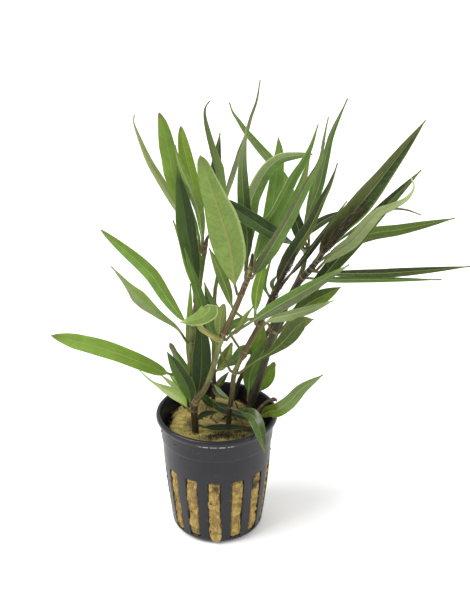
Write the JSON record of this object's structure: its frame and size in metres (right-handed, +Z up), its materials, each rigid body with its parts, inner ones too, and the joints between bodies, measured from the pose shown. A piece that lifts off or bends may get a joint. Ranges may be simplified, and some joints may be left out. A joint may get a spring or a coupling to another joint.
{
  "type": "potted hygrophila",
  "caption": "Potted hygrophila: tall leafy stems with long narrow leaves, growing from a yellow rockwool plug in a tapered black net pot with slotted sides.",
  "frame": {"origin": "middle of the pot's flat base, on the surface that it stands on", "axes": "+Z up along the pot's axis, -Y the front that faces the viewer, +X to the viewer's right"},
  "size_m": [0.175, 0.084, 0.196],
  "materials": {
    "pot_plastic": "satin",
    "rockwool": "matte",
    "twig": "matte",
    "stem": "satin",
    "leaf": "satin",
    "pale_leaf": "satin"
  },
  "bodies": {
    "root": {"net_pot": "pot_plastic", "rockwool": "rockwool", "twig": "twig", "stem_front": "stem", "stem_middle": "stem", "stem_left": "stem", "stem_back": "stem", "stem_rear": "stem", "stem_right": "stem", "leaf_front_1": "leaf", "leaf_front_2": "leaf", "leaf_front_3": "leaf", "leaf_front_4": "leaf", "leaf_front_5": "leaf", "leaf_front_6": "leaf", "leaf_front_7": "leaf", "leaf_front_8": "pale_leaf", "leaf_front_9": "leaf", "leaf_front_10": "leaf", "leaf_front_11": "leaf", "leaf_front_12": "leaf", "leaf_front_13": "leaf", "leaf_front_14": "leaf", "leaf_middle_1": "leaf", "leaf_middle_2": "leaf", "leaf_middle_3": "leaf", "leaf_middle_4": "leaf", "leaf_middle_5": "pale_leaf", "leaf_middle_6": "pale_leaf", "leaf_middle_7": "leaf", "leaf_middle_8": "leaf", "leaf_left_1": "leaf", "leaf_left_2": "leaf", "leaf_left_3": "leaf", "leaf_left_4": "leaf", "leaf_left_5": "leaf", "leaf_left_6": "leaf", "leaf_left_7": "pale_leaf", "leaf_left_8": "leaf", "leaf_back_1": "leaf", "leaf_back_2": "leaf", "leaf_back_3": "leaf", "leaf_back_4": "leaf", "leaf_rear_1": "leaf", "leaf_rear_2": "leaf", "leaf_rear_3": "leaf", "leaf_rear_4": "leaf", "leaf_rear_5": "leaf", "leaf_rear_6": "leaf", "leaf_right_1": "leaf", "leaf_right_2": "leaf", "leaf_right_3": "leaf", "leaf_right_4": "pale_leaf", "leaf_right_5": "leaf", "leaf_right_6": "leaf", "leaf_right_7": "pale_leaf", "leaf_right_8": "leaf", "leaf_right_9": "leaf", "leaf_right_10": "leaf"}
  },
  "joints": []
}
